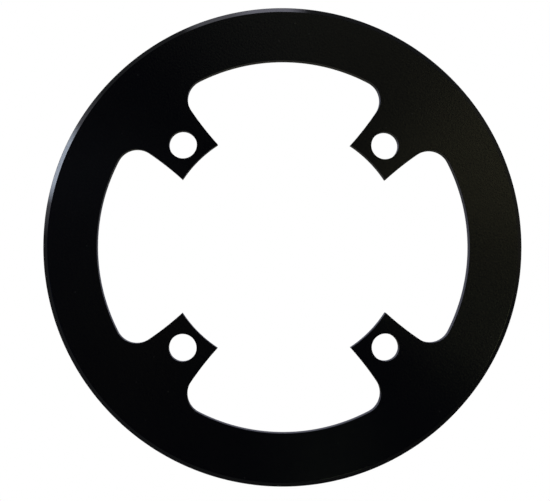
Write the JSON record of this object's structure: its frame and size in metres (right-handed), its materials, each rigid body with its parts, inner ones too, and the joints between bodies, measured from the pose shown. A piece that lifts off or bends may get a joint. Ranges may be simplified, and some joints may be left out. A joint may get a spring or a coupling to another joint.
{
  "type": "bicycle chain guard",
  "caption": "Flat black ring guard for a bicycle chainring, with a wide chamfered rim, an open centre and inward lobes whose bolt holes fix it to the crank.",
  "frame": {"origin": "centre of the bolt circle on the back face, which the guard lies on", "axes": "+Z along the crank's axis, out of the chamfered front face; +X and +Y each point through the middle of a window, halfway between two lobes"},
  "size_m": [0.174, 0.174, 0.004],
  "materials": {
    "black_anodised": "satin black anodised"
  },
  "bodies": {
    "root": {"chain_guard": "black_anodised"}
  },
  "joints": []
}
